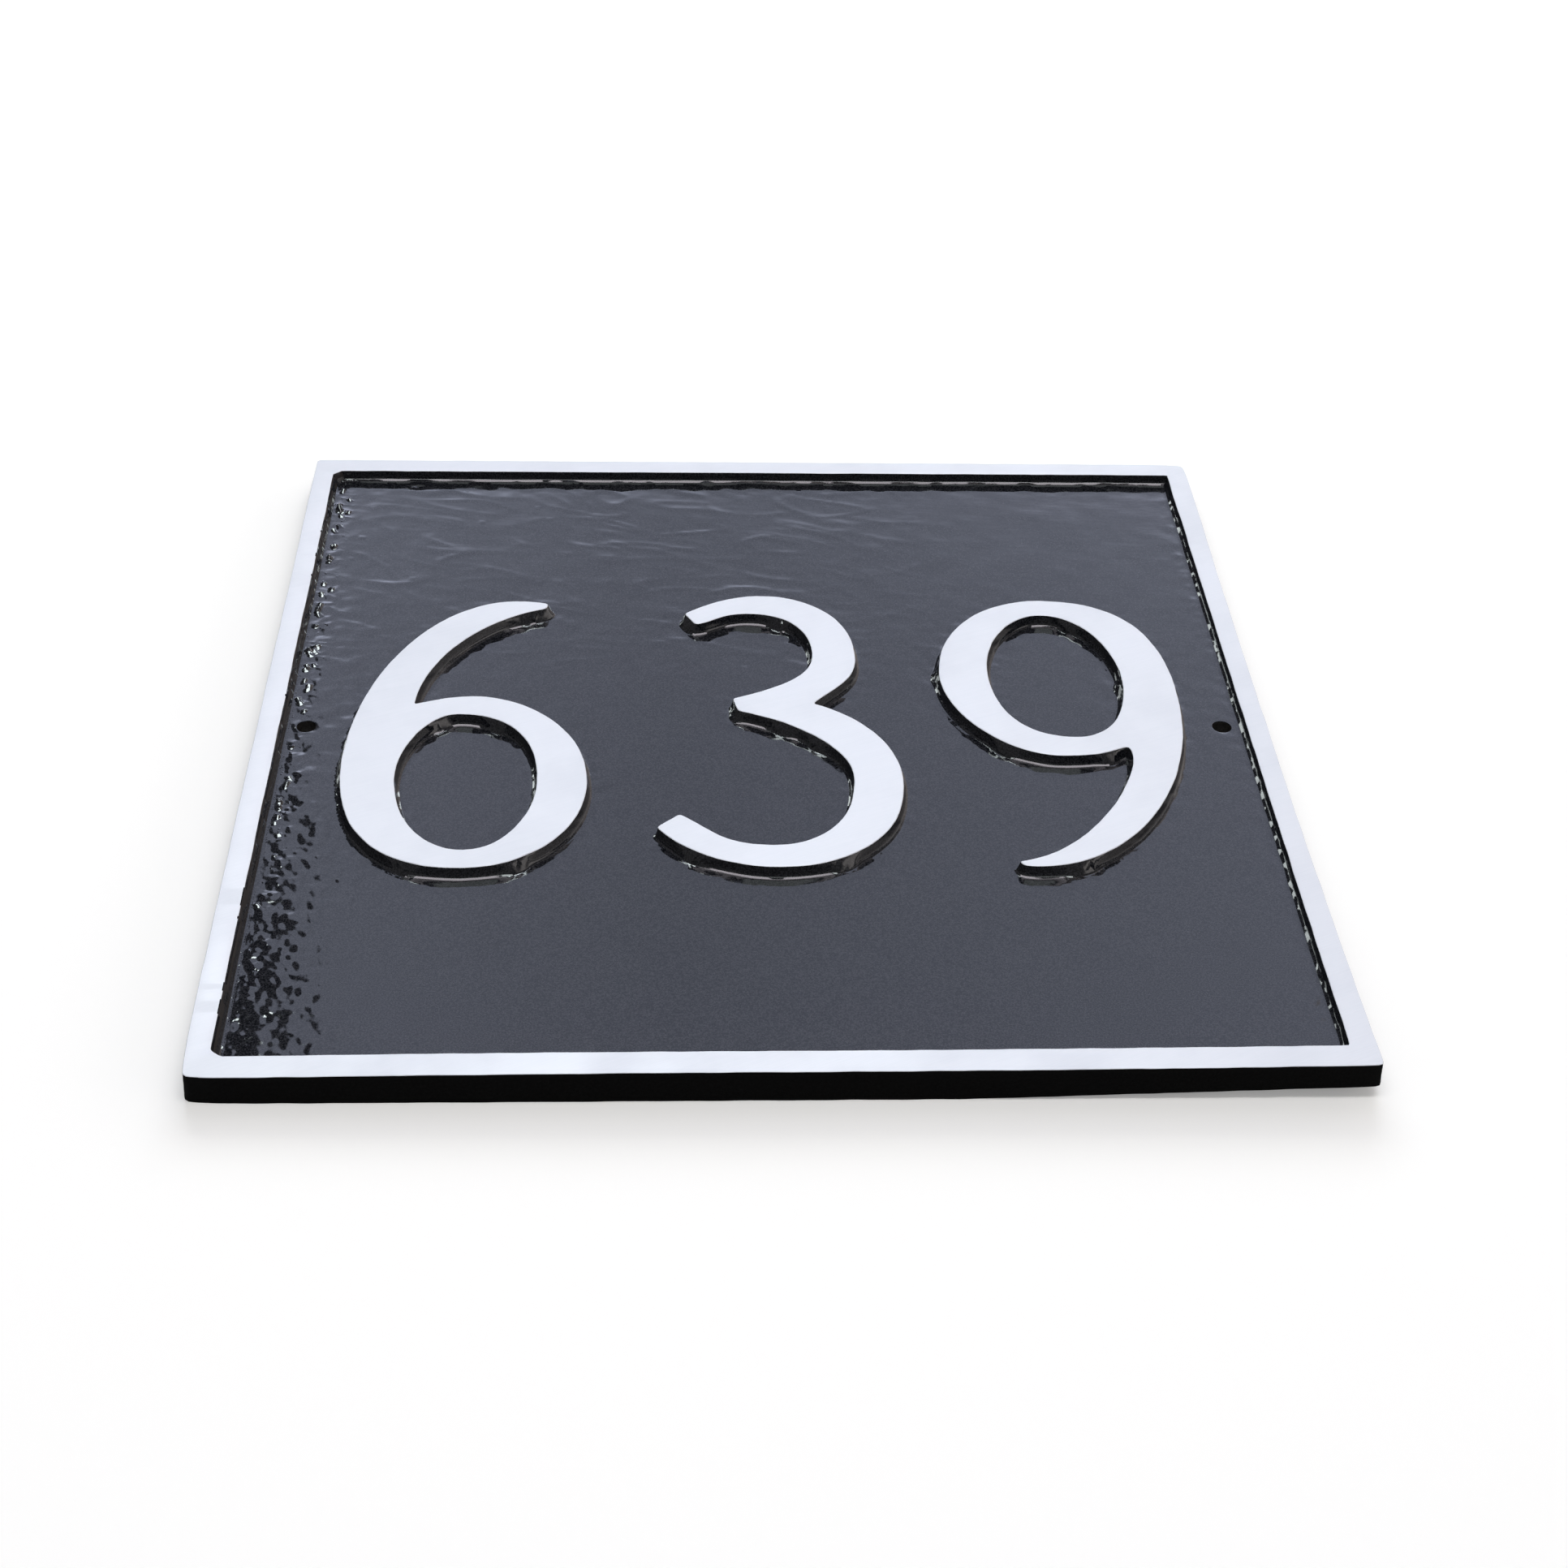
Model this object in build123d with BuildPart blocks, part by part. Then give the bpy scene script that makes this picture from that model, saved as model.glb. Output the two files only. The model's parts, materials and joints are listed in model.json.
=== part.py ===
import os

from math import cos, radians, sin, tan

from build123d import *

# Sand-cast aluminium house number plaque, in one piece: a square plate with a raised border and
# three raised numerals, and two screw holes through the sunk field. It lies on its back, with the
# origin at the middle of the back, +Z out of the face and +Y towards the top of the numerals.
# Lengths are in millimetres and angles in degrees.

# Plate, which narrows from its back to its face so that it draws from the sand
plaque_side = 254.0
plaque_thickness = 8.0
plaque_corner_radius = 1.5
side_draft = 3.0

# Relief: a raised border and numerals round a sunk field
border_width = 6.0
relief_height = 3.0
wall_draft = 5.0
root_fillet = 1.0
field_corner_cut = 2.0

# Screw holes, halfway up the plate and just inside the border
hole_diameter = 4.8
hole_inset = 5.3

# Numerals, in one row between the holes
figure_margin = 14.4
figure_gap = 12.7
figure_drop = 1.9

# Sizes that follow from those above
face_side = plaque_side - 2 * plaque_thickness * tan(radians(side_draft))
field_side = face_side - 2 * border_width
field_level = plaque_thickness - relief_height
hole_spacing = field_side - 2 * hole_inset
figure_width = (field_side - 2 * figure_margin - 2 * figure_gap) / 3
figure_pitch = figure_width + figure_gap

# The numerals, drawn on a grid from the middle of their baseline. An outline goes round
# counterclockwise, one stretch a line. A stretch is its first point and its two curve handles, or its
# first point alone where it is straight, and it ends where the next begins.
six = [
    [(18.0, 110.4), (15.5, 111.2), (12.5, 111.5)],
    [(9.5, 111.5), (-10.5, 111.5), (-29.3, 80.0)],
    [(-29.3, 41.0), (-29.3, 16.5), (-19.5, 0.0)],
    [(1.5, 0.0), (18.0, 0.0), (30.3, 13.0)],
    [(30.3, 32.5), (30.3, 51.5), (16.5, 68.0)],
    [(0.5, 68.0), (-5.0, 68.0), (-9.5, 66.0)],
    [(-13.8, 64.5), (-12.5, 84.5), (0.0, 102.5)],
    [(17.6, 108.2)],
]
six_counter = [
    [(-2.5, 60.4), (-8.5, 60.4), (-16.0, 49.5)],
    [(-16.0, 35.5), (-16.0, 20.0), (-8.0, 6.6)],
    [(2.0, 6.6), (11.5, 6.6), (18.3, 19.5)],
    [(18.3, 32.0), (18.3, 49.0), (11.5, 60.4)],
]
three = [
    [(-20.8, 105.8)],
    [(-18.0, 100.9), (-12.5, 101.8), (-12.0, 106.0)],
    [(-4.0, 106.0), (6.0, 106.0), (12.4, 99.0)],
    [(12.4, 87.0), (12.4, 76.0), (0.0, 70.5)],
    [(-8.9, 67.2)],
    [(-7.6, 61.9), (5.5, 58.0), (20.1, 47.0)],
    [(20.1, 34.5), (20.1, 18.5), (12.0, 8.3)],
    [(0.0, 8.3), (-12.5, 8.3), (-14.0, 13.5)],
    [(-22.3, 19.9)],
    [(-27.8, 14.8), (-23.5, 8.5), (-13.5, 0.2)],
    [(1.0, 0.2), (19.5, 0.2), (32.0, 13.5)],
    [(32.0, 33.0), (32.0, 49.5), (22.0, 60.5)],
    [(11.5, 65.0), (18.0, 73.0), (23.4, 75.0)],
    [(23.4, 87.0), (23.4, 103.0), (13.5, 114.5)],
    [(-0.5, 114.5), (-9.0, 114.5), (-17.0, 109.0)],
]
nine = [
    [(-17.2, 0.7), (-16.0, 0.4), (-14.5, 0.2)],
    [(-13.0, 0.2), (9.5, 0.2), (30.1, 31.0)],
    [(30.1, 70.0), (30.1, 96.5), (22.0, 112.5)],
    [(-0.5, 112.5), (-17.0, 112.5), (-30.3, 97.5)],
    [(-30.3, 76.5), (-30.3, 61.0), (-17.0, 43.1)],
    [(-2.0, 43.1), (8.0, 43.1), (9.8, 45.2)],
    [(14.0, 47.0), (18.5, 41.0), (2.0, 5.0)],
    [(-18.2, 2.0)],
]
nine_counter = [
    [(-1.0, 105.6), (-9.5, 105.6), (-17.8, 92.5)],
    [(-17.8, 78.5), (-17.8, 62.0), (-11.5, 50.9)],
    [(2.0, 50.9), (11.0, 50.9), (16.8, 62.0)],
    [(16.8, 76.5), (16.8, 92.5), (8.5, 105.6)],
]

# Size of the grid's unit, which gives the numerals the width that the row leaves them
drawn_points = [point for figure in (six, three, nine) for stretch in figure for point in stretch]
drawn_across, drawn_up = zip(*drawn_points)
unit = figure_width / (max(drawn_across) - min(drawn_across))
baseline = -unit * max(drawn_up) / 2 - figure_drop

# Profile of a numeral's wall, as heights above the field and how far it stands out from the drawn
# outline: three flats round the root, then the drafted wall up to the outline itself
root_turn = 90 - wall_draft
root_reach = root_fillet * tan(radians(root_turn / 2))
wall_foot = relief_height * tan(radians(wall_draft))
wall_profile = []
for share in (0, 1 / 3, 2 / 3, 1):
    turn = radians(root_turn * share)
    wall_profile.append((root_fillet * (1 - cos(turn)), wall_foot + root_reach - root_fillet * sin(turn)))
wall_profile.append((relief_height, 0))


def outward(start, end):
    """Give the direction square to a chord, on the outer side of the outline."""
    along = (end - start).normalized()
    return Vector(along.Y, -along.X)


def spread(points, growth):
    """Move the sides of a closed polygon outwards by growth, and give its new corners."""
    moved = []
    for index, point in enumerate(points):
        near = outward(points[index - 1], point)
        far = outward(point, points[(index + 1) % len(points)])
        moved.append(point + (near + far) * (growth / (1 + near.dot(far))))
    return moved


def section(stretches, column, height, growth):
    """Cut a numeral or its counter at a height above the field, spread by growth."""
    points = [Vector(*point) * unit for stretch in stretches for point in stretch]
    points = spread(points, growth)
    edges = []
    for stretch in stretches:
        count = len(stretch)
        make_edge = Edge.make_line if count == 1 else Edge.make_bezier
        edges.append(make_edge(*points[:count + 1]))
        points = points[count:] + points[:count]
    return Plane((figure_pitch * column, baseline, field_level + height)) * Face(Wire(edges))


with BuildPart() as plaque:
    # Plate
    with BuildSketch():
        RectangleRounded(plaque_side, plaque_side, plaque_corner_radius)
    extrude(amount=plaque_thickness, taper=side_draft)

    # Sunk field, with its two left corners cut across and a rounded root inside the border
    with BuildSketch(Plane.XY.offset(plaque_thickness)) as field:
        Rectangle(field_side, field_side)
        chamfer(field.vertices().group_by(Axis.X)[0], field_corner_cut)
    extrude(amount=-relief_height, taper=wall_draft, mode=Mode.SUBTRACT)
    fillet(plaque.edges().filter_by_position(Axis.Z, field_level, field_level), root_fillet)

    # Numerals, level with the border, and then the counters that go down to the field
    for column, figure in zip((-1, 0, 1), (six, three, nine)):
        loft([section(figure, column, height, growth) for height, growth in wall_profile], ruled=True)
    for column, counter in zip((-1, 1), (six_counter, nine_counter)):
        cuts = [section(counter, column, height, -growth) for height, growth in wall_profile]
        loft(cuts, ruled=True, mode=Mode.SUBTRACT)

    # Screw holes
    with Locations(Plane.XY.offset(field_level)):
        with GridLocations(hole_spacing, 0, 2, 1):
            Hole(hole_diameter / 2, depth=field_level)

plaque.part.label = "plaque"
os.makedirs("parts", exist_ok=True)
export_step(plaque.part, "parts/plaque.step")
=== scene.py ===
import json
from math import ceil, cos, exp, hypot, pi, radians, sin, tan

import bpy
import numpy as np
from mathutils import Matrix, Vector, kdtree, noise
from mathutils.geometry import delaunay_2d_cdt, interpolate_bezier


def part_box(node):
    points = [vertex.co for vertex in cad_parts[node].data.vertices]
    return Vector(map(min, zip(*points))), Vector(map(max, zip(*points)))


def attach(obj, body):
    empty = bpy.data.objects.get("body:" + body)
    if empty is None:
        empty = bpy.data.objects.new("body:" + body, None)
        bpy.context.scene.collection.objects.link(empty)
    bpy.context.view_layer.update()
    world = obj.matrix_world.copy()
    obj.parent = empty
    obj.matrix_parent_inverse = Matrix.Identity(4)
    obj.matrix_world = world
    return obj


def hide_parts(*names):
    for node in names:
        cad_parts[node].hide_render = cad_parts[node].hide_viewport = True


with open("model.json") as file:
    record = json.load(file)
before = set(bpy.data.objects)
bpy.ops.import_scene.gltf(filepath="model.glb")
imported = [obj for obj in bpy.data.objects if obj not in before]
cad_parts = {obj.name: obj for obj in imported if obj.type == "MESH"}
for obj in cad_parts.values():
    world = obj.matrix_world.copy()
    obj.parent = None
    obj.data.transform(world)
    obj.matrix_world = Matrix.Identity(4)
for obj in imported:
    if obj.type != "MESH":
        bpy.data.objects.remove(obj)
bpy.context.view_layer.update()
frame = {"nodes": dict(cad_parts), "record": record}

mm = 0.001

# Casting: a square aluminium plate, sand cast in one piece with its border and numerals. It is painted
# black all over, and its raised faces are then sanded back to bare metal. Two screws hold it to a wall.
solid = frame["nodes"]["plaque"]
face_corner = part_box("plaque")[1]
half_side = face_corner.x
face_level = face_corner.z
screw_holes = frame["record"]["mounts"][0]["dims"]
hole_radius = screw_holes["hole_r_mm"] * mm
hole_spacing = screw_holes["spacing_x_mm"] * mm

relief_height = 3.0 * mm
field_level = face_level - relief_height
wall_draft = radians(5)
side_draft = radians(3)
rim_round = 0.12 * mm

# Rims of the raised faces, taken off the solid and drawn as smooth closed curves
weld_distance = 0.01 * mm
least_upright = 0.99
bpy.ops.object.select_all(action="DESELECT")
solid.select_set(True)
bpy.context.view_layer.objects.active = solid
bpy.ops.object.duplicate()
rims = bpy.context.object
bpy.ops.object.mode_set(mode="EDIT")
bpy.ops.mesh.select_all(action="SELECT")
bpy.ops.mesh.remove_doubles(threshold=weld_distance)
bpy.ops.mesh.select_mode(type="FACE")
bpy.ops.mesh.select_all(action="DESELECT")
bpy.ops.object.mode_set(mode="OBJECT")
for face in rims.data.polygons:
    face.select = face.normal.z < least_upright or face.center.z < face_level - rim_round
bpy.ops.object.mode_set(mode="EDIT")
bpy.ops.mesh.delete(type="FACE")
bpy.ops.mesh.select_all(action="SELECT")
bpy.ops.mesh.region_to_loop()
bpy.ops.mesh.select_all(action="INVERT")
bpy.ops.mesh.delete(type="EDGE")
bpy.ops.object.mode_set(mode="OBJECT")
bpy.ops.object.convert(target="CURVE")
bpy.ops.object.mode_set(mode="EDIT")
bpy.ops.curve.select_all(action="SELECT")
bpy.ops.curve.spline_type_set(type="BEZIER")
bpy.ops.curve.handle_type_set(type="AUTOMATIC")
bpy.ops.object.mode_set(mode="OBJECT")

corner_turn = radians(28)
for spline in rims.data.splines:
    knots = spline.bezier_points
    for index, knot in enumerate(knots):
        before = (knot.co - knots[index - 1].co).xy
        after = (knots[(index + 1) % len(knots)].co - knot.co).xy
        if abs(before.angle_signed(after)) > corner_turn:
            knot.handle_left_type = "VECTOR"
            knot.handle_right_type = "VECTOR"


def even_loop(points, step):
    """Space the points of a closed loop evenly, about a step apart."""
    closed = np.vstack([points, points[:1]])
    along = np.concatenate([[0], np.cumsum(np.linalg.norm(np.diff(closed, axis=0), axis=1))])
    stations = np.linspace(0, along[-1], round(along[-1] / step), endpoint=False)
    return np.column_stack([np.interp(stations, along, closed[:, axis]) for axis in (0, 1)])


def encloses(loop, point):
    """Tell whether a closed loop goes round a point."""
    start, end = loop, np.roll(loop, -1, axis=0)
    crossed = (start[:, 1] > point[1]) != (end[:, 1] > point[1])
    start, end = start[crossed], end[crossed]
    share = (point[1] - start[:, 1]) / (end[:, 1] - start[:, 1])
    return np.count_nonzero(start[:, 0] + share * (end[:, 0] - start[:, 0]) > point[0]) % 2 == 1


rim_step = 0.8 * mm
border_step = 0.9 * mm
loops = []
for spline in rims.data.splines:
    knots = list(spline.bezier_points)
    points = []
    for knot, following in zip(knots, knots[1:] + knots[:1]):
        pieces = max(2, 1 + ceil(2 * (following.co - knot.co).length / rim_step))
        arc = interpolate_bezier(knot.co, knot.handle_right, following.handle_left, following.co, pieces)
        points += [point.xy for point in arc[:-1]]
    points = np.array(points)
    loops.append(even_loop(points, border_step if np.ptp(points[:, 0]) > half_side else rim_step))
bpy.ops.object.delete()

# A raised face lies on the left of its rim, so loops inside an odd number of others run clockwise
for index, loop in enumerate(loops):
    depth = sum(encloses(other, loop[0]) for other in loops if other is not loop)
    following = np.roll(loop, -1, axis=0)
    area = np.sum(loop[:, 0] * following[:, 1] - loop[:, 1] * following[:, 0])
    if (area > 0) != (depth % 2 == 0):
        loop = loop[::-1]
    if np.ptp(loop[:, 0]) < half_side:
        loop = loop / 2 + np.roll(loop, 1, axis=0) / 4 + np.roll(loop, -1, axis=0) / 4
    loops[index] = loop
loops.sort(key=lambda loop: -np.ptp(loop[:, 0]))

# The rims waver where they were sanded by hand, alike in every run
waver_seed = 5
noise.seed_set(waver_seed)
for waver_size, waver_depth, border_share in ((7.0 * mm, 0.14 * mm, 1), (1.8 * mm, 0.06 * mm, 0.3)):
    for loop in loops:
        depth = waver_depth * (border_share if np.ptp(loop[:, 0]) > half_side else 1)
        for point in loop:
            waver = noise.noise_vector(Vector((*point, 0)) / waver_size)
            point += depth * np.array(waver.xy)

# The plate's outline isn't true: its right edge is hollow and two of its corners are worn
right_hollow = 0.9 * mm
hollow_start = 0.9
worn_corners = ((1, 1), (-1, -1))
corner_wear = 0.9 * mm
wear_reach = 5.0 * mm
outer_rim, *inner_rims = loops
for point in outer_rim:
    across, up = point / half_side
    point[0] -= right_hollow * max(0, across - hollow_start) / (1 - hollow_start) * (1 - up ** 2)
    for side, end in worn_corners:
        corner_distance = (2 - side * across - end * up) * half_side
        point -= np.array((side, end)) * corner_wear * exp(-corner_distance / wear_reach)

# The border is a little wider along the front
front_widening = 0.4 * mm
front_reach = 4.0 * mm
left_edge = inner_rims[0][:, 0].min()
front_edge = inner_rims[0][:, 1].min()
for point in inner_rims[0]:
    point[1] += front_widening * max(0, 1 - (point[1] - front_edge) / front_reach)

# How much a corner may stretch a wall, and how much of its growth a point keeps from the rim
corner_stretch = 0.7
kept_growth = 0.99


def grown(loop, growth):
    """Move a loop outwards from its raised face, and drop the points that would cross over."""
    ahead = np.roll(loop, -1, axis=0) - loop
    ahead /= np.linalg.norm(ahead, axis=1)[:, None]
    sideways = np.column_stack([ahead[:, 1], -ahead[:, 0]])
    outward = sideways + np.roll(sideways, 1, axis=0)
    outward /= np.linalg.norm(outward, axis=1)[:, None]
    stretch = np.maximum(corner_stretch, np.sum(outward * sideways, axis=1))
    moved = loop + growth * outward / stretch[:, None]
    fine = even_loop(loop, rim_step / 4)
    tree = kdtree.KDTree(len(fine))
    for index, point in enumerate(fine):
        tree.insert((*point, 0), index)
    tree.balance()
    clear = [tree.find((*point, 0))[2] > kept_growth * abs(growth) for point in moved]
    return moved[clear], outward[clear]


# Net of points over the whole face: each ring of a wall goes down by one step of its profile
places, levels, bands, outwards, links = [], [], [], [], []


def lay_ring(points, outward, level, band):
    """Add a closed ring of points at one level, and the links that keep it whole."""
    first = len(places)
    places.extend(points)
    levels.extend([level] * len(points))
    bands.extend([band] * len(points))
    outwards.extend(outward)
    links.extend((first + index, first + (index + 1) % len(points)) for index in range(len(points)))


# A wall goes down from its rim to a slope of pooled paint, given by its facets' widths and angles. It leans
# more and has less paint round the numerals.
pooled_paint = [(0.05, 50), (0.04, 31), (0.60, 29.5), (0.04, 28), (0.06, 12)]
border_pool = 1.05
numeral_draft = radians(14)
numeral_pool = 0.75
foot_reach = 0.4 * mm


def wall_profile(draft, pool):
    """Give the rings of a wall, as growths and levels, for its draft and the size of its pooled paint."""
    facets = [(pool * width * mm, radians(angle)) for width, angle in pooled_paint]
    wall_height = relief_height - sum(width * sin(angle) for width, angle in facets)
    profile = [(-rim_round, face_level)]
    for drop in (rim_round, wall_height / 3, wall_height * 2 / 3, wall_height):
        profile.append((drop * tan(draft), face_level - drop))
    for width, angle in facets:
        growth, level = profile[-1]
        profile.append((growth + width * cos(angle), level - width * sin(angle)))
    return profile


border_profile = wall_profile(wall_draft, border_pool)
numeral_profile = wall_profile(numeral_draft, numeral_pool)
pool_top = border_profile[-1 - len(pooled_paint)][1]

side_profile = [(-rim_round, face_level)]
for level in (face_level - rim_round, face_level / 2, 0):
    side_profile.append(((face_level - level) * tan(side_draft), level))

# Bands of points: from the raised faces down to the field, down the sides, and into the holes
FACE, RIM, WALL, FIELD, SIDE, FOOT, BORE = range(7)
for order, loop in enumerate(inner_rims):
    for step, (growth, level) in enumerate(border_profile if order == 0 else numeral_profile):
        band = FACE if step == 0 else RIM if step == 1 else WALL
        lay_ring(*grown(loop, growth), level, band)
for (growth, level), band in zip(side_profile, (FACE, RIM, SIDE, FOOT)):
    lay_ring(*grown(outer_rim, growth), level, band)

# Edges of the screw holes, rounded over by the paint, as growths and drops
hole_profile = [(0.30 * mm, 0), (0.08 * mm, 0.03 * mm), (0, 0.25 * mm)]
hole_steps = 28
for side in (-1, 1):
    centre = Vector((side * hole_spacing / 2, 0))
    for step, (growth, drop) in enumerate(hole_profile):
        turns = np.linspace(0, 2 * pi, hole_steps, endpoint=False)
        inward = np.column_stack([np.sin(turns), np.cos(turns)])
        circle = np.array(centre) + (hole_radius + growth) * inward
        lay_ring(circle, inward, field_level - drop, FIELD if step < 2 else BORE)

# Points of the field, in rows of a triangular net that keeps clear of the walls and holes. The net is finest
# along the left border, where the paint has run. It is coarser where the paint is lumpy or creased, and
# coarsest where it is smooth.
run_strip = 6.5 * mm
lumpy_strip = 20 * mm
lumpy_top = -25 * mm
creased_strip = 26 * mm
creased_right = 45 * mm
creased_foot = 25 * mm
wall_margin = 2.5 * mm
net_clearance = 0.6
fine_step = 0.3 * mm
row_step = fine_step * sin(radians(60))
near_ring = kdtree.KDTree(len(places))
for index, point in enumerate(places):
    near_ring.insert((*point, 0), index)
near_ring.balance()


def net_coarseness(x, y, gap):
    """Give how many fine steps apart the net's points are at a place."""
    if x < left_edge + run_strip:
        return 1
    if x < left_edge + lumpy_strip and y < lumpy_top:
        return 2
    if x < left_edge + creased_strip or (x < creased_right and y > creased_foot) or gap < wall_margin:
        return 3
    return 6


starts = np.vstack(loops)
ends = np.vstack([np.roll(loop, -1, axis=0) for loop in loops])
for row in range(round(2 * half_side / row_step)):
    y = -half_side + row * row_step
    crossed = (starts[:, 1] > y) != (ends[:, 1] > y)
    share = (y - starts[crossed, 1]) / (ends[crossed, 1] - starts[crossed, 1])
    crossings = np.sort(starts[crossed, 0] + share * (ends[crossed, 0] - starts[crossed, 0]))
    for column, x in enumerate(np.arange(-half_side + (row % 2) * fine_step / 2, half_side, fine_step)):
        slant_column = column - row // 2
        passed = np.searchsorted(crossings, x)
        if passed % 2 or not 2 <= passed <= len(crossings) - 2:
            continue
        gap = near_ring.find((x, y, 0))[2]
        coarseness = net_coarseness(x, y, gap)
        if row % coarseness or slant_column % coarseness:
            continue
        hole_distance = hypot(abs(x) - hole_spacing / 2, y)
        if gap > net_clearance * coarseness * fine_step and hole_distance > hole_radius:
            places.append(np.array((x, y)))
            levels.append(field_level)
            bands.append(FIELD)
            outwards.append(np.zeros(2))

# Where each point lies along its nearest wall, and its gap to that wall's foot
fine_rims = [even_loop(loop, rim_step / 4) for loop in inner_rims]
near_rim = kdtree.KDTree(sum(len(rim) for rim in fine_rims))
rim_arcs = []
for order, rim in enumerate(fine_rims):
    for step, point in enumerate(rim):
        near_rim.insert((*point, 0), len(rim_arcs))
        rim_arcs.append(order + step * rim_step / 4)
near_rim.balance()
gaps = []
arcs = []
for index, point in enumerate(places):
    spot, rim_index, distance = near_rim.find((*point, 0))
    gaps.append(max(0, distance - foot_reach))
    arcs.append(rim_arcs[rim_index])
    if bands[index] == FIELD:
        outwards[index] = (point - np.array(spot.xy)) / distance

# Runs in the paint along the left border. Each rises away from the front edge, and falls off sharply behind.
run_draw = np.random.default_rng(11)
run_count = 44
run_inset = 2.3 * mm
run_scatter = 3.0 * mm
run_crowding = 2.2
run_top = 0.90 * half_side
run_extent = 1.45 * half_side
run_thinning = 1.4
run_widths = (0.6 * mm, 1.0 * mm)
run_proportions = (1.1, 2.3)
run_slopes = (0.21, 0.26)
far_slope = 0.06
run_turns = (-0.6, 0.4)
run_fall = 4.0
paint_runs = []
for _ in range(run_count):
    run_x = left_edge + run_inset + run_scatter * run_draw.random() ** run_crowding
    run_y = run_top - run_extent * run_draw.random() ** run_thinning
    run_width = run_draw.uniform(*run_widths)
    run_length = run_width * run_draw.uniform(*run_proportions)
    run_slope = run_draw.uniform(*run_slopes) + far_slope * run_y / half_side
    paint_runs.append((run_x, run_y, run_width, run_length, run_slope, run_draw.uniform(*run_turns)))

# Other forms in the paint: soft swells, dimples, a fringe of waves by the walls, creases that run across the
# upper left, lumps and a hollow along the left border, and specks of grit
swell_height = 0.05 * mm
dimple_height = 0.012 * mm
fringe_height = 0.10 * mm
fringe_reach = 2.2 * mm
crease_turns = (-0.06, -0.30)
crease_seeds = (1.7, 6.1)
crease_heights = (0.070 * mm, 0.064 * mm)
crease_drift = 7 * mm
crease_fold = 0.24
crease_least = 0.22
crease_cover = 0.45
cover_change = 1.5
large_lump = 0.20 * mm
middle_lump = 0.12 * mm
small_lump = 0.015 * mm
small_lump_growth = 0.095 * mm
lump_least = 0.30
lumps_start = 1.4 * mm
lumps_rise = 2.0 * mm
lumps_reach = 7 * mm
lumps_growth = 15 * mm
low_span = 240 * mm
hollow_depth = 0.05 * mm
hollow_growth = 0.60 * mm
hollow_reach = 7.5 * mm
run_reach = 9 * mm
grit = np.random.default_rng(7)
grit_heights = (0.05 * mm, 0.16 * mm)
grit_shares = ((0.004, 12 * mm), (0.0010, 60 * mm))


def grain(across, up, width, length, seed=0.0):
    """Give a smooth random value, from about -1 to 1, in a pattern with grains of a size."""
    return noise.noise(Vector((across / width, up / length, seed)))


def crease_height(x, y):
    """Give the height of the creases at a place on the field."""
    leftness = 1 / (1 + exp((x - 30 * mm) / (25 * mm)))
    upness = 1 / (1 + exp((10 * mm - y) / (20 * mm)))
    height = 0
    for turn, seed, crest in zip(crease_turns, crease_seeds, crease_heights):
        along = x * cos(turn) + y * sin(turn)
        across = y * cos(turn) - x * sin(turn)
        drift = crease_drift * grain(along, across, 40 * mm, 30 * mm, seed + 3)
        fold = grain(along, across + drift, 24 * mm, 6.5 * mm, seed)
        patch = max(0, crease_cover + cover_change * grain(along, across, 15 * mm, 9 * mm, seed + 7))
        height += crest * patch * max(0, 1 - abs(fold) / crease_fold) ** 2
    return height * (crease_least + leftness * upness)


def lump_height(x, y, from_left):
    """Give the height of the lumps along the left border, which grow towards the front."""
    low_share = min(1, max(0, 0.5 - y / low_span))
    reach = lumps_reach + lumps_growth * low_share
    strip = min(1, max(0, (from_left - lumps_start) / lumps_rise)) / (1 + (from_left / reach) ** 3)
    lumps = large_lump * grain(x, y, 5.0 * mm, 4.2 * mm, 3.1)
    lumps += middle_lump * grain(x, y, 2.4 * mm, 2.4 * mm, 7.7)
    lumps += (small_lump + small_lump_growth * low_share) * grain(x, y, 1.5 * mm, 1.2 * mm, 2.3)
    hollow = (hollow_depth + hollow_growth * low_share ** 2) * exp(-(from_left / hollow_reach) ** 2)
    return strip * (lump_least + (1 - lump_least) * low_share ** 0.5) * lumps - hollow


def run_height(x, y):
    """Give the height of the runs at a place on the field."""
    height = 0
    for run_x, run_y, run_width, run_length, run_slope, run_turn in paint_runs:
        across = ((x - run_x) * cos(run_turn) - (y - run_y) * sin(run_turn)) / run_width
        along = ((x - run_x) * sin(run_turn) + (y - run_y) * cos(run_turn)) / run_length
        if abs(across) < 1 and abs(along) < 1:
            height += run_slope * run_length * min(1 + along, run_fall * (1 - along)) * (1 - across ** 4)
    return height


def ripple(x, y, gap):
    """Give the height of the paint's surface at a place on the field, by its gap to the nearest wall."""
    from_left = x - left_edge
    height = swell_height * noise.fractal(Vector((x, y, 0)) / (16 * mm), 1.0, 2.0, 3)
    height += dimple_height * grain(x, y, 3.5 * mm, 3.5 * mm)
    fringe = gap / fringe_reach
    height += fringe_height * fringe * exp(1 - fringe) * grain(x, y, 3.6 * mm, 2.4 * mm, 0.5)
    height += crease_height(x, y) + lump_height(x, y, from_left)
    if from_left < run_reach:
        height += run_height(x, y)
    if grit.random() < sum(share * exp(-from_left / reach) for share, reach in grit_shares):
        height += grit.uniform(*grit_heights)
    return height


# The paint pools less along the left border, and stands in ragged rolls on the walls that face left
left_pool = 0.15
left_reach = 5.0 * mm
corner_reach = 8.0 * mm
leftward_start = 0.6
leftward_span = 0.3
roll_share = 0.5
roll_change = 1.3
fine_rags = 0.7


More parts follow.
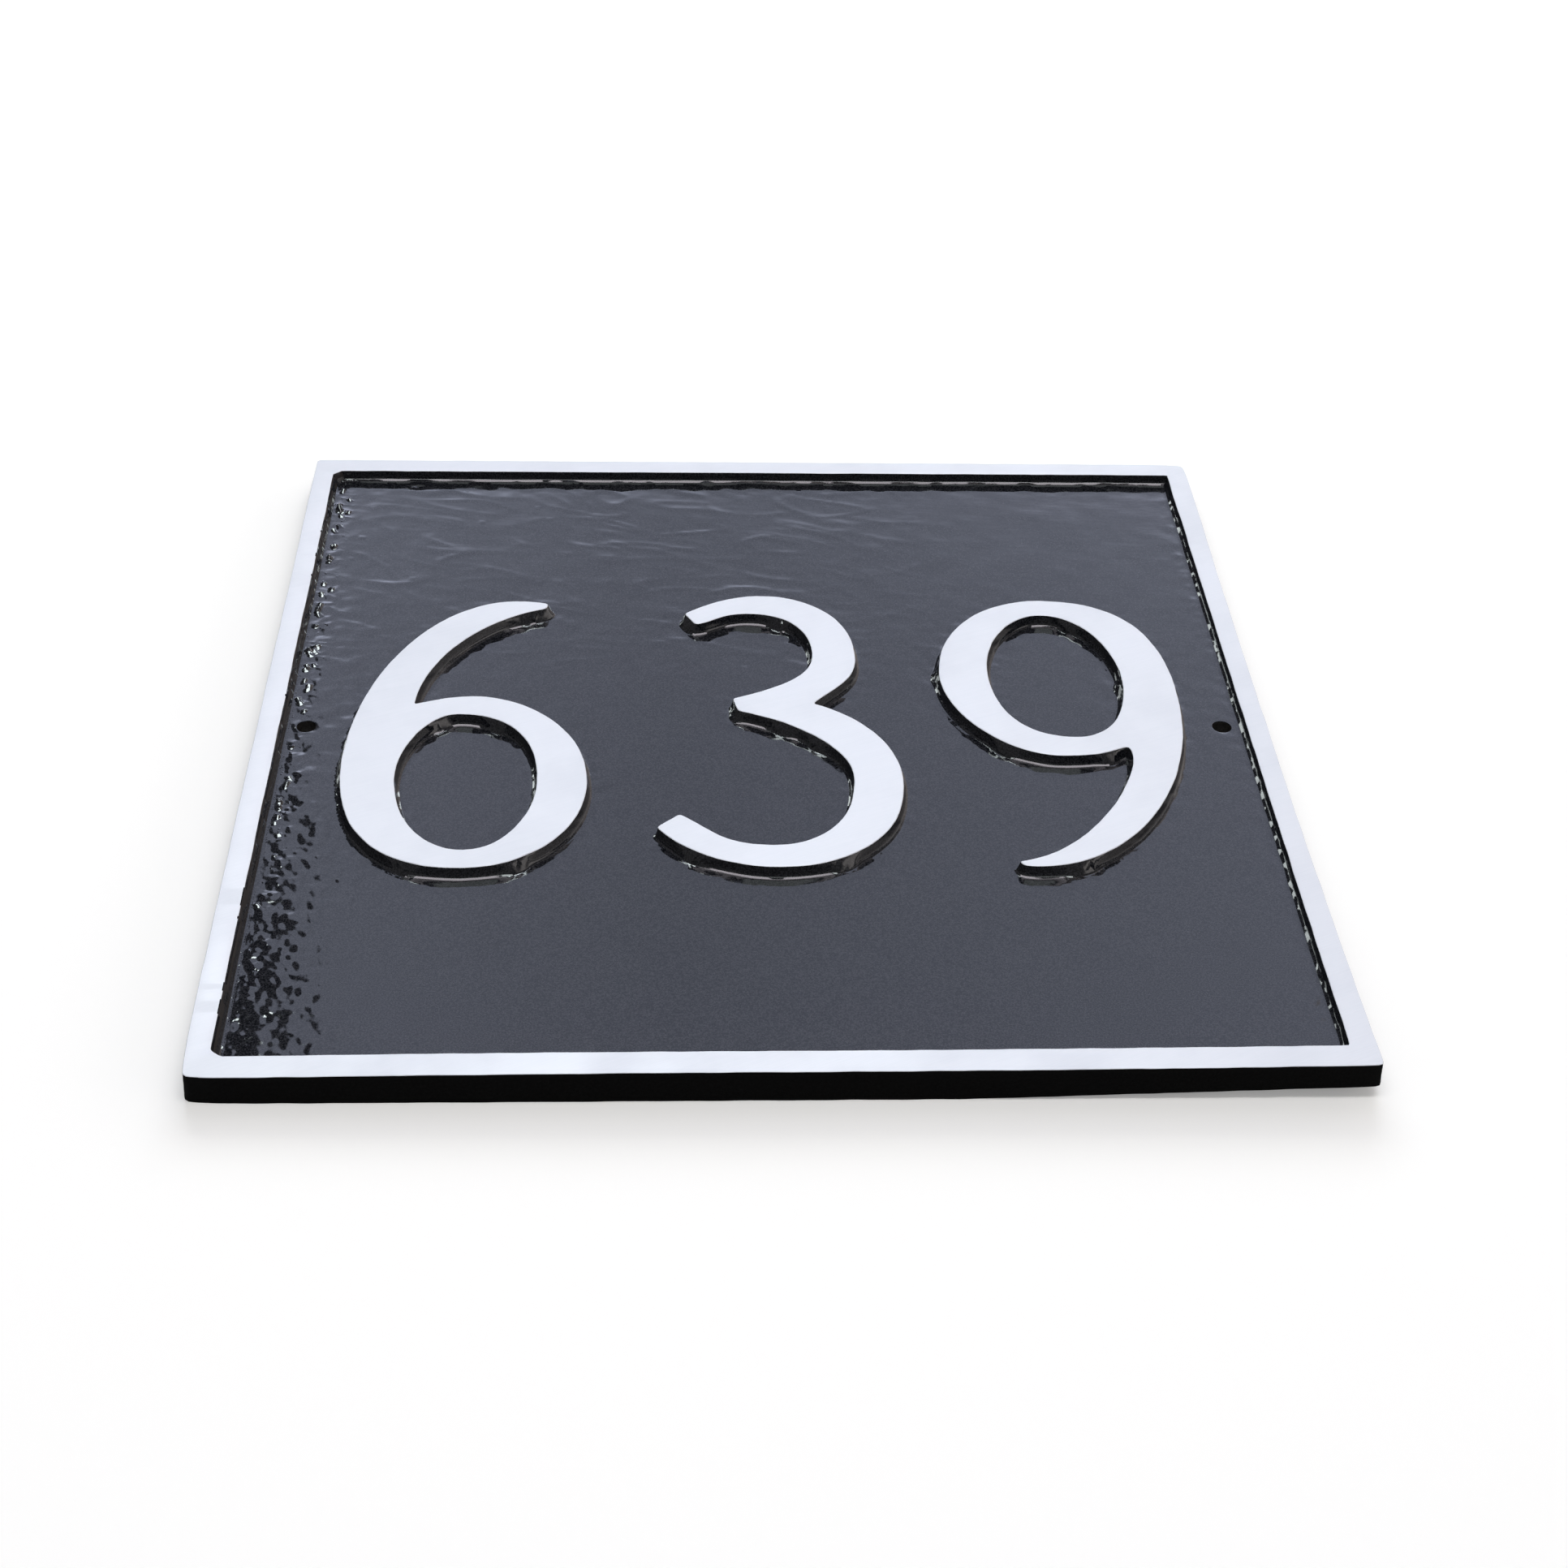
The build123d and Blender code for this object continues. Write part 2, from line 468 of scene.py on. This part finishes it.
def pool_share(x, y, outward):
    """Give the share of the pooled paint that a wall has."""
    if x < left_edge + left_reach:
        corner_gap = -front_edge - abs(y)
        return left_pool + (1 - left_pool) * max(0, 1 - corner_gap / corner_reach)
    ragged = grain(x, y, 5 * mm, 9 * mm) + fine_rags * grain(x, y, 1.7 * mm, 2.6 * mm)
    leftward = min(1, max(0, -outward[0] - leftward_start) / leftward_span)
    return 1 + leftward * max(0, roll_share + roll_change * ragged)


# Walls have fine streaks along them, and have slumped at some places, given with their reach in millimetres
slumps = [(-61, 47, 4.5), (-54, 50, 3.0), (-81, -2, 2.4), (-68, -2, 2.4), (-87, -58, 3.2), (-60, -57, 3.2),
          (-21, 44, 3.0), (4, 44, 2.4), (-9, 3, 2.4), (4, -3, 3.0), (12, -9, 2.6), (-19, -52, 3.0),
          (16, -56, 3.4), (82, 44, 2.4), (91, 16, 2.6), (44, 21, 3.0), (59, -11, 3.0), (85, -16, 2.8),
          (72, -58, 4.2)]
slump_depth = 1.25 * mm
slump_gain = 1.2
lump_depth = 0.8 * mm
streak_depth = 0.05 * mm
bulge_fade = 1.8 * mm
bulge_reach = 6.0 * mm


def wall_share(level):
    """Give how far up its wall a level is, from 0 at the field to 1 at the face."""
    return min(1, max(0, level - field_level) / relief_height)


def streaks(point, level, gap, arc, streak_share):
    """Give how far a point of a wall, or of the field by its foot, lies outwards from its true place."""
    across, up = point / mm
    slumped = sum(exp(-((across - x) ** 2 + (up - y) ** 2) / reach ** 2) for x, y, reach in slumps)
    share = wall_share(level)
    streak = grain(arc, level, 5 * mm, 0.6 * mm, 4.4)
    lump = grain(arc, level, 1.2 * mm, 1.0 * mm, 9.1)
    slump = slump_depth * (1 - share) + 4 * share * (1 - share) * lump_depth * lump
    bulge = streak_depth * streak * streak_share + min(1, slump_gain * slumped) * slump
    return exp(-gap / bulge_fade) * bulge


# The left border has a narrower face, because its wall leans away from the field, and a foot that reaches
# further into the field
left_lean = 0.65 * mm
left_foot = 0.5 * mm
lean_start = -1.2 * mm
lean_reach = 4.0 * mm


def lean(point, level):
    """Give how far a point of the left border's wall lies to the left of its true place."""
    from_left = point[0] - left_edge
    if not lean_start < from_left < lean_reach:
        return 0
    share = wall_share(level)
    return (left_lean * share - left_foot * (1 - share)) * min(1, 1 - from_left / lean_reach)


# The casting is a little warped: its front edge climbs to the right, and its underside was ground there
front_climb = 1.0 * mm
front_start = 0.4
ground_rise = 3.0 * mm
ground_start = 0.3


def frontness(y):
    """Give how far a place lies into the front of the plate, from 0 to 1 at the front edge."""
    return max(0, -y / half_side - front_start) / (1 - front_start)


def warp(x, y):
    """Give how far the face stands off its true level, most of all at the front corners."""
    return front_climb * frontness(y) ** 2 * (x / half_side) * abs(x / half_side)


def underside(x, y):
    """Give the level of the plate's lower edge."""
    return ground_rise * max(0, x / half_side - ground_start) / (1 - ground_start) * frontness(y)


heights = []
for point, level, band, gap, outward in zip(places, levels, bands, gaps, outwards):
    if band == FOOT:
        heights.append(underside(*point))
        continue
    if band == WALL and level <= pool_top:
        level = field_level + pool_share(*point, outward) * (level - field_level)
    sunk = min(1, (face_level - level) / relief_height) if band in (WALL, FIELD, BORE) else 0
    heights.append(level + sunk ** 3 * ripple(*point, gap) + warp(*point))

merge_distance = 1e-7
net = delaunay_2d_cdt([Vector(point) for point in places], links, [], 0, merge_distance)
net_points, net_faces, origins = net[0], net[2], net[3]
vertices = []
vertex_bands = []
for point, origin in zip(net_points, origins):
    first = origin[0] if origin else near_ring.find((*point, 0))[1]
    bulge = 0
    if bands[first] in (WALL, FIELD) and gaps[first] < bulge_reach:
        streak_share = 1 if bands[first] == WALL and point.x > left_edge + left_reach else 0
        bulge = streaks(point, levels[first], gaps[first], arcs[first], streak_share)
    moved = point + Vector(outwards[first]) * bulge
    vertices.append((moved.x - lean(point, levels[first]), moved.y, heights[first]))
    vertex_bands.append(bands[first])


def is_skin(face):
    """Tell whether a face is metal, and not the air round the plate or in a hole."""
    if {vertex_bands[index] for index in face} not in ({FOOT}, {BORE}):
        return True
    one, two, three = (net_points[index] for index in sorted(face, key=lambda index: origins[index][0]))
    return (two - one).cross(three - one) > 0


faces = [face for face in net_faces if is_skin(face)]
mesh = bpy.data.meshes.new("casting")
mesh.from_pydata(vertices, [], faces)
casting = bpy.data.objects.new("casting", mesh)
bpy.context.collection.objects.link(casting)

# Finishes: sanded metal on the raised faces, dull paint on the sides and back, a thin coat in the holes,
# satin paint with a painted brown reflection on the left border's wall, and gloss paint on the rest
reflection_satin_reach = 2.0 * mm
wall_facing = 0.5
GLOSS, METAL, DULL, BORE_PAINT, REFLECTION_SATIN = range(5)
for polygon, face in zip(mesh.polygons, faces):
    face_bands = {vertex_bands[index] for index in face}
    if face_bands <= {FACE, RIM}:
        polygon.material_index = METAL
    elif face_bands & {SIDE, FOOT} or face_bands == {BORE}:
        polygon.material_index = DULL
    elif face_bands <= {RIM, WALL} and polygon.normal.x > wall_facing:
        # the left border's wall gets the satin paint, whose brown colour is a painted reflection
        if polygon.center.x < left_edge + reflection_satin_reach:
            polygon.material_index = REFLECTION_SATIN

# Bores and back: the holes' edges go straight down, the plate's lower edge turns in, and the back is filled
# between them
back_inset = 0.97
smooth_angle = radians(34)
bpy.ops.object.select_all(action="DESELECT")
casting.select_set(True)
bpy.context.view_layer.objects.active = casting
casting.active_material_index = DULL
for is_bore, inset in ((True, 1), (False, back_inset)):
    bpy.ops.object.mode_set(mode="EDIT")
    bpy.ops.mesh.select_mode(type="EDGE")
    bpy.ops.mesh.select_all(action="DESELECT")
    bpy.ops.mesh.select_non_manifold()
    bpy.ops.object.mode_set(mode="OBJECT")
    for edge in mesh.edges:
        end = mesh.vertices[edge.vertices[0]].co
        in_bore = hypot(abs(end.x) - hole_spacing / 2, end.y) < 2 * hole_radius
        edge.select = edge.select and in_bore == is_bore
    bpy.ops.object.mode_set(mode="EDIT")
    bpy.ops.mesh.extrude_edges_move()
    bpy.ops.transform.resize(value=(inset, inset, 0), center_override=(0, 0, 0))
bpy.ops.mesh.select_all(action="DESELECT")
bpy.ops.mesh.select_non_manifold()
bpy.ops.mesh.fill(use_beauty=True)
bpy.ops.mesh.select_all(action="SELECT")
bpy.ops.mesh.normals_make_consistent(inside=False)
bpy.ops.object.mode_set(mode="OBJECT")
for polygon in mesh.polygons[len(faces):]:
    middle = polygon.center
    in_bore = hypot(abs(middle.x) - hole_spacing / 2, middle.y) < 1.1 * hole_radius
    polygon.material_index = BORE_PAINT if in_bore and abs(polygon.normal.z) < wall_facing else DULL
bpy.ops.object.shade_smooth_by_angle(angle=smooth_angle)


def add_noise(material, size, stretch=1, turn=0, detail=2):
    """Add a noise with grains of a size, stretched along a turned line, and give its output."""
    tree = material.node_tree
    coordinates = tree.nodes.new("ShaderNodeTexCoord")
    mapping = tree.nodes.new("ShaderNodeMapping")
    mapping.vector_type = "TEXTURE"
    mapping.inputs["Rotation"].default_value = (0, 0, turn)
    mapping.inputs["Scale"].default_value = (size * stretch, size, size)
    pattern = tree.nodes.new("ShaderNodeTexNoise")
    pattern.inputs["Scale"].default_value = 1
    pattern.inputs["Detail"].default_value = detail
    tree.links.new(coordinates.outputs["Object"], mapping.inputs["Vector"])
    tree.links.new(mapping.outputs["Vector"], pattern.inputs["Vector"])
    return pattern.outputs["Fac"]


def add_ramp(material, source, stops):
    """Add a colour ramp on a source, given by its positions and colours, and give its output."""
    ramp = material.node_tree.nodes.new("ShaderNodeValToRGB")
    elements = ramp.color_ramp.elements
    while len(elements) < len(stops):
        elements.new(0.5)
    for element, (position, colour) in zip(elements, stops):
        element.position = position
        element.color = (*colour, 1)
    material.node_tree.links.new(source, ramp.inputs["Fac"])
    return ramp.outputs["Color"]


def add_range(material, source, low, high):
    """Add a range that spreads the middle of a noise between two values, and give its output."""
    spread = material.node_tree.nodes.new("ShaderNodeMapRange")
    for socket, value in (("From Min", 0.3), ("From Max", 0.7), ("To Min", low), ("To Max", high)):
        spread.inputs[socket].default_value = value
    material.node_tree.links.new(source, spread.inputs["Value"])
    return spread.outputs["Result"]


def add_bump(material, source, height, under=None):
    """Add a bump of a height over another, if one is given, and give its output."""
    bump = material.node_tree.nodes.new("ShaderNodeBump")
    bump.inputs["Distance"].default_value = height
    material.node_tree.links.new(source, bump.inputs["Height"])
    if under:
        material.node_tree.links.new(under, bump.inputs["Normal"])
    return bump.outputs["Normal"]


def add_mix(material, blend, share, one, two):
    """Add a mix of two colours, and give its output."""
    mix = material.node_tree.nodes.new("ShaderNodeMix")
    mix.data_type = "RGBA"
    mix.blend_type = blend
    mix.inputs["Factor"].default_value = share
    colours = [socket for socket in mix.inputs if socket.type == "RGBA"]
    material.node_tree.links.new(one, colours[0])
    material.node_tree.links.new(two, colours[1])
    return next(socket for socket in mix.outputs if socket.type == "RGBA")


# Gloss paint: black enamel with an orange-peel skin and a film of fine dust
gloss_paint = bpy.data.materials.new("gloss_paint")
gloss_paint.use_nodes = True
wire = gloss_paint.node_tree.links.new
paint = gloss_paint.node_tree.nodes["Principled BSDF"]
paint.inputs["IOR"].default_value = 1.5
dust = add_noise(gloss_paint, 0.4 * mm, detail=4)
wire(add_ramp(gloss_paint, dust, [(0.40, (0.002, 0.003, 0.005)), (0.62, (0.028, 0.029, 0.034))]),
     paint.inputs["Base Color"])
film = add_noise(gloss_paint, 11 * mm, detail=4)
wire(add_range(gloss_paint, film, 0.04, 0.10), paint.inputs["Roughness"])
peel = add_bump(gloss_paint, add_noise(gloss_paint, 1.1 * mm), 0.007 * mm)
wrinkles = add_noise(gloss_paint, 2.6 * mm, stretch=5, turn=radians(-6))
wire(add_bump(gloss_paint, wrinkles, 0.02 * mm, peel), paint.inputs["Normal"])

# Sanded metal: pale satin aluminium, with fine sanding lines and faint smudges
sanded_metal = bpy.data.materials.new("sanded_metal")
sanded_metal.use_nodes = True
wire = sanded_metal.node_tree.links.new
metal = sanded_metal.node_tree.nodes["Principled BSDF"]
metal.inputs["Metallic"].default_value = 0.15
scratches = add_noise(sanded_metal, 0.3 * mm, stretch=45, turn=radians(24), detail=3)
smudges = add_noise(sanded_metal, 16 * mm, detail=4)
scratched = add_ramp(sanded_metal, scratches, [(0.3, (0.652, 0.674, 0.714)), (0.6, (0.672, 0.690, 0.730))])
smudged = add_ramp(sanded_metal, smudges, [(0.32, (0.955, 0.96, 0.97)), (0.55, (1, 1, 1))])
wire(add_mix(sanded_metal, "MULTIPLY", 1, scratched, smudged), metal.inputs["Base Color"])
wire(add_range(sanded_metal, smudges, 0.58, 0.44), metal.inputs["Roughness"])
wire(add_bump(sanded_metal, scratches, 0.004 * mm), metal.inputs["Normal"])

# Dull paint: thin matt black over the grain of the sand
dull_paint = bpy.data.materials.new("dull_paint")
dull_paint.use_nodes = True
wire = dull_paint.node_tree.links.new
dull = dull_paint.node_tree.nodes["Principled BSDF"]
dull.inputs["Specular IOR Level"].default_value = 0.03
sand = add_noise(dull_paint, 0.7 * mm, detail=4)
wire(add_ramp(dull_paint, sand, [(0.35, (0.001, 0.001, 0.001)), (0.7, (0.004, 0.004, 0.004))]),
     dull.inputs["Base Color"])
wire(add_range(dull_paint, sand, 0.6, 0.8), dull.inputs["Roughness"])
wire(add_bump(dull_paint, sand, 0.05 * mm), dull.inputs["Normal"])

# Bore paint: a thin brown-black coat inside the screw holes
bore_paint = bpy.data.materials.new("bore_paint")
bore_paint.use_nodes = True
wire = bore_paint.node_tree.links.new
coat = bore_paint.node_tree.nodes["Principled BSDF"]
coat.inputs["Specular IOR Level"].default_value = 0.2
runs = add_noise(bore_paint, 0.6 * mm, detail=3)
wire(add_ramp(bore_paint, runs, [(0.35, (0.010, 0.009, 0.008)), (0.7, (0.030, 0.026, 0.024))]),
     coat.inputs["Base Color"])
wire(add_range(bore_paint, runs, 0.4, 0.6), coat.inputs["Roughness"])
wire(add_bump(bore_paint, runs, 0.05 * mm), coat.inputs["Normal"])

# Satin paint on the left border's wall, streaked along it: its brown-black colour is a painted reflection
satin_painted_reflection = bpy.data.materials.new("satin_painted_reflection")
satin_painted_reflection.use_nodes = True
wire = satin_painted_reflection.node_tree.links.new
reflection_satin = satin_painted_reflection.node_tree.nodes["Principled BSDF"]
reflection_satin.inputs["Specular IOR Level"].default_value = 0.15
brushing = add_noise(satin_painted_reflection, 0.5 * mm, stretch=12, turn=radians(90), detail=3)
# Brown-black colours: a painted reflection on this wall
wire(add_ramp(satin_painted_reflection, brushing, [(0.3, (0.022, 0.019, 0.018)), (0.7, (0.030, 0.026, 0.025))]),
     reflection_satin.inputs["Base Color"])
wire(add_range(satin_painted_reflection, brushing, 0.50, 0.62), reflection_satin.inputs["Roughness"])

for material in (gloss_paint, sanded_metal, dull_paint, bore_paint, satin_painted_reflection):
    casting.data.materials.append(material)

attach(casting, "root")
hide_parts("plaque")

# Floor: a plain white table top. What the camera sees of it has a little glow of its own, so that it is
# white where nothing shades it.
floor_size = 40.0
table_glow = 0.235
bpy.ops.object.select_all(action="DESELECT")
bpy.ops.mesh.primitive_plane_add(size=floor_size, location=(0, 0, -0.05 * mm))
floor = bpy.context.object
floor.name = "floor"
bpy.ops.object.transform_apply(location=True)
white_table = bpy.data.materials.new("white_table")
white_table.use_nodes = True
nodes = white_table.node_tree.nodes
wire = white_table.node_tree.links.new
table = nodes["Principled BSDF"]
table.inputs["Base Color"].default_value = (0.9, 0.905, 0.87, 1)
table.inputs["Roughness"].default_value = 0.9
table.inputs["Specular IOR Level"].default_value = 0
table.inputs["Emission Color"].default_value = (1, 1, 1, 1)
light_path = nodes.new("ShaderNodeLightPath")
seen = light_path.outputs["Is Camera Ray"]
for ray in ("Is Glossy Ray", "Is Transmission Ray"):
    either = nodes.new("ShaderNodeMath")
    either.operation = "MAXIMUM"
    wire(seen, either.inputs[0])
    wire(light_path.outputs[ray], either.inputs[1])
    seen = either.outputs["Value"]
glow = nodes.new("ShaderNodeMath")
glow.operation = "MULTIPLY"
glow.inputs[1].default_value = table_glow
wire(seen, glow.inputs[0])
wire(glow.outputs["Value"], table.inputs["Emission Strength"])
floor.data.materials.append(white_table)


# Studio light: soft panels hung round the table. The top and back panels only light the plaque, the low right
# one lights it and shows in its gloss, and the others only show in the gloss.
def add_panel(name, azimuth, elevation, distance, width, height, colour, radiance):
    """Hang a soft panel that faces the plaque, at a compass angle from +Y and a height angle."""
    across, up = radians(azimuth), radians(elevation)
    spot = distance * Vector((sin(across) * cos(up), cos(across) * cos(up), sin(up)))
    bpy.ops.object.light_add(type="AREA", location=spot)
    panel = bpy.context.object
    panel.name = name
    panel.rotation_euler = spot.to_track_quat("Z", "Y").to_euler()
    panel.data.shape = "RECTANGLE"
    panel.data.size = width
    panel.data.size_y = height
    panel.data.color = colour
    panel.data.energy = radiance * pi * width * height
    panel.visible_camera = False
    return panel


top_panel = add_panel("top_panel", 180, 85, 1.5, 1.3, 0.36, (1, 0.98, 1), 5.3)
top_panel.visible_glossy = False
strip_panel = add_panel("strip_panel", 180, 86, 1.5, 1.3, 0.53, (0.99, 0.93, 1), 7.0)
front_panel = add_panel("front_panel", 180, 60, 2.0, 1.2, 0.85, (0.92, 1, 1), 9.0)
glint_panel = add_panel("glint_panel", -9, 62, 2.0, 0.75, 0.36, (0.9, 1, 1), 20.0)
low_left_panel = add_panel("low_left_panel", -35, 13, 2.0, 0.56, 0.36, (0.92, 1, 1), 6.5)
for panel in (strip_panel, front_panel, glint_panel, low_left_panel):
    panel.visible_diffuse = False
add_panel("low_right_panel", 16, 19, 2.0, 0.45, 0.25, (0.9, 1, 1), 6.0)
back_panel = add_panel("back_panel", 0, 32, 2.0, 1.6, 0.67, (1, 1, 0.98), 3.9)
back_panel.visible_glossy = False

# Surroundings that the gloss mirrors: a bright sweep behind the plaque, with a dark room to its left, and a
# pale wall and a window to its right. Steps are heights and levels, and gains are compass angles and levels.
sweep_steps = [(0.27, 0.4), (0.31, 3.0), (0.40, 3.0), (0.46, 1.9), (0.51, 1.27), (0.57, 1.20), (0.69, 1.30),
               (0.80, 1.4), (0.88, 1.4), (0.95, 0.4)]
sweep_tint = (0.78, 0.84, 1.06)
sweep_gains = ((24, 1.30), (-11, 1.26))
room_light = (0.22, 0.216, 0.22)
side_light = (0.95, 0.84, 0.80)
window_steps = [(0.0, 0.2), (0.10, 1.7), (0.33, 1.7), (0.44, 0.5), (0.60, 0.22)]
window_tint = (1, 0.94, 0.92)
dark_light = (0.05, 0.05, 0.055)
world = bpy.data.worlds.new("studio")
bpy.context.scene.world = world
world.use_nodes = True
nodes = world.node_tree.nodes
wire = world.node_tree.links.new
direction = nodes.new("ShaderNodeTexCoord")
parts = nodes.new("ShaderNodeSeparateXYZ")
wire(direction.outputs["Generated"], parts.inputs["Vector"])
compass = nodes.new("ShaderNodeMath")
compass.operation = "ARCTAN2"
wire(parts.outputs["X"], compass.inputs[0])
wire(parts.outputs["Y"], compass.inputs[1])


def add_edge(low, high):
    """Add a soft edge between two compass angles, and give its output."""
    edge = nodes.new("ShaderNodeMapRange")
    edge.interpolation_type = "SMOOTHSTEP"
    edge.inputs["From Min"].default_value = radians(low)
    edge.inputs["From Max"].default_value = radians(high)
    wire(compass.outputs["Value"], edge.inputs["Value"])
    return edge.outputs["Result"]


def add_blend(share, one, two):
    """Add a blend from one colour to another, and give its output."""
    blend = nodes.new("ShaderNodeMix")
    blend.data_type = "RGBA"
    colours = [socket for socket in blend.inputs if socket.type == "RGBA"]
    wire(share, blend.inputs["Factor"])
    for socket, colour in zip(colours, (one, two)):
        if isinstance(colour, tuple):
            socket.default_value = (*colour, 1)
        else:
            wire(colour, socket)
    return next(socket for socket in blend.outputs if socket.type == "RGBA")


def add_grade(steps, tint):
    """Add a light that changes with height, by its heights and levels, and give its output."""
    grade = nodes.new("ShaderNodeValToRGB")
    wire(parts.outputs["Z"], grade.inputs["Fac"])
    elements = grade.color_ramp.elements
    while len(elements) < len(steps):
        elements.new(0.5)
    for element, (position, level) in zip(elements, steps):
        element.position = position
        element.color = (*[level * share for share in tint], 1)
    return grade.outputs["Color"]


graded_sweep = add_grade(sweep_steps, sweep_tint)
for end, gain in sweep_gains:
    sideways = nodes.new("ShaderNodeMapRange")
    for socket, value in (("From Min", 0), ("From Max", radians(end)), ("To Min", 1), ("To Max", gain)):
        sideways.inputs[socket].default_value = value
    wire(compass.outputs["Value"], sideways.inputs["Value"])
    gained = nodes.new("ShaderNodeVectorMath")
    gained.operation = "SCALE"
    wire(graded_sweep, gained.inputs["Vector"])
    wire(sideways.outputs["Result"], gained.inputs["Scale"])
    graded_sweep = gained.outputs["Vector"]
left_room = add_blend(add_edge(-75, -50), room_light, dark_light)
with_sweep = add_blend(add_edge(-17, -14.5), left_room, graded_sweep)
with_side = add_blend(add_edge(21.5, 24.5), with_sweep, side_light)
with_window = add_blend(add_edge(42, 55), with_side, add_grade(window_steps, window_tint))
around = add_blend(add_edge(120, 140), with_window, room_light)
wire(around, nodes["Background"].inputs["Color"])

# Camera, at the photograph's view
camera_data = bpy.data.cameras.new("camera")
camera = bpy.data.objects.new("camera", camera_data)
bpy.context.collection.objects.link(camera)
camera_data.sensor_width = 36
camera_data.lens = 55.74
camera_data.clip_start = 0.01
view_right = Vector((0.998894, -0.037478, 0.028410))
view_down = Vector((-0.000313, -0.609381, -0.792877))
view_ahead = Vector((0.047028, 0.791991, -0.608719))
camera_place = Vector((-24.71, -492.73, 365.46)) * mm
camera.matrix_world = Matrix.Translation(camera_place) @ Matrix(
    (view_right, -view_down, -view_ahead)).transposed().to_4x4()
bpy.context.scene.camera = camera
bpy.context.scene.view_settings.view_transform = "Standard"
